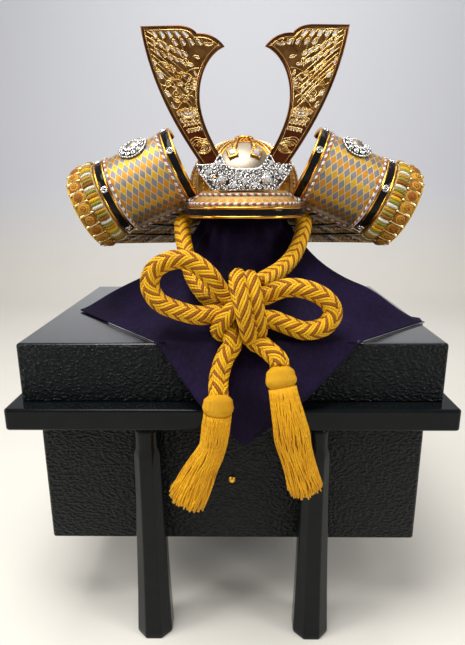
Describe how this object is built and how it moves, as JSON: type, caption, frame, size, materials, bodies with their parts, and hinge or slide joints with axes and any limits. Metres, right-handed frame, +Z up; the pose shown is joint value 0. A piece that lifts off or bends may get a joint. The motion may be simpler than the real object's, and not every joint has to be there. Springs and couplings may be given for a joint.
{
  "type": "kabuto helmet on a cloth-draped stand and legged storage box",
  "caption": "Japanese helmet with pierced horns, rolled side plates, laced neck guard and knotted cord, displayed on a draped stand and lacquered box.",
  "frame": {"origin": "middle of the storage box on the floor, under its four feet", "axes": "+Z up, front of the helmet and box towards -Y, +X to the viewer's right"},
  "size_m": [0.394, 0.3444, 0.5601],
  "materials": {
    "black_lacquer": "gloss black lacquer, fine hammered relief on the sides",
    "brass_stud": "polished",
    "gold_bowl": "polished gold plate",
    "silver_plate": "satin champagne silver with a gold edge",
    "brocade": "woven gold and silver lozenges",
    "rim_black_gold": "black lacquer band between gold pipings",
    "crest_silver": "polished silver openwork",
    "horn_bronze": "red-brown bronze with raised gold lines",
    "silk_lacing": "silk braid lacing",
    "purple_crepe": "crepe with a pale lining",
    "stand_wood": "plain",
    "gold_cord": "eight-strand silk braid"
  },
  "bodies": {
    "root": {"lower_box": "black_lacquer", "ledge": "black_lacquer", "lid": "black_lacquer", "leg_front_left": "black_lacquer", "leg_front_right": "black_lacquer", "leg_back_left": "black_lacquer", "leg_back_right": "black_lacquer", "front_stud": "brass_stud", "bowl": "gold_bowl", "waist_band": "gold_bowl", "crown_ring": "gold_bowl", "crown_bar_left": "gold_bowl", "crown_bar_right": "gold_bowl", "front_plate": "silver_plate", "visor": "brocade", "wing_panel_left": "brocade", "wing_panel_right": "brocade", "visor_rim": "rim_black_gold", "wing_rim_inner_left": "rim_black_gold", "wing_rim_inner_right": "rim_black_gold", "wing_rim_outer_left": "rim_black_gold", "wing_rim_outer_right": "rim_black_gold", "crest_base": "crest_silver", "crest_flower_left": "crest_silver", "crest_flower_right": "crest_silver", "wing_crest_left": "crest_silver", "wing_crest_right": "crest_silver", "rivet_inner_left_1": "crest_silver", "rivet_inner_left_2": "crest_silver", "rivet_inner_right_1": "crest_silver", "rivet_inner_right_2": "crest_silver", "rivet_outer_left_1": "crest_silver", "rivet_outer_left_2": "crest_silver", "rivet_outer_left_3": "crest_silver", "rivet_outer_right_1": "crest_silver", "rivet_outer_right_2": "crest_silver", "rivet_outer_right_3": "crest_silver", "horn_left": "horn_bronze", "horn_right": "horn_bronze", "wing_lacing_left": "silk_lacing", "wing_lacing_right": "silk_lacing", "neck_lame_1": "silk_lacing", "neck_lame_2": "silk_lacing", "neck_lame_3": "silk_lacing", "neck_lame_4": "silk_lacing", "drape_cloth": "purple_crepe", "helmet_stand": "stand_wood", "chin_cord_neck": "gold_cord", "bow_loop_left": "gold_cord", "bow_loop_right": "gold_cord", "cord_tail_left": "gold_cord", "cord_tail_right": "gold_cord", "cord_knot": "gold_cord", "tassel_left": "gold_cord", "tassel_right": "gold_cord"}
  },
  "joints": []
}
